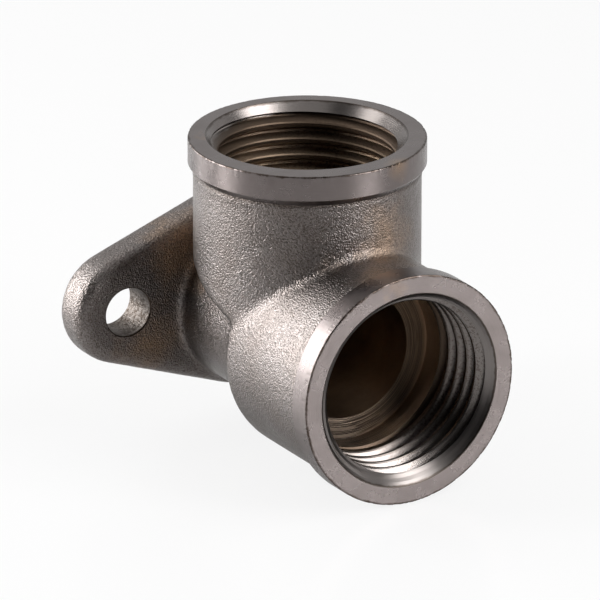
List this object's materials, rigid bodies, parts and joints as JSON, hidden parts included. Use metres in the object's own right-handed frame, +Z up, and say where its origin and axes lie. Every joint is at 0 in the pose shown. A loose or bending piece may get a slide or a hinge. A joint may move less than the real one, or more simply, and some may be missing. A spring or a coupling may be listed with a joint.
{
  "type": "wall-plate elbow pipe fitting",
  "caption": "Right-angle wall-plate elbow: a forward socket and an upward socket with internal threads, on a thick flange with screw ears.",
  "frame": {"origin": "on the wall face of the flange, on the axis of the front socket", "axes": "+Z up along the top socket's axis, -Y out of the front socket, +Y into the wall, +X to the right"},
  "size_m": [0.0434, 0.0364, 0.0346],
  "materials": {
    "plated_brass": "satin nickel plate: fine pebbled forging skin, smooth turned rims and bores"
  },
  "bodies": {
    "root": {"elbow_body": "plated_brass"}
  },
  "joints": []
}
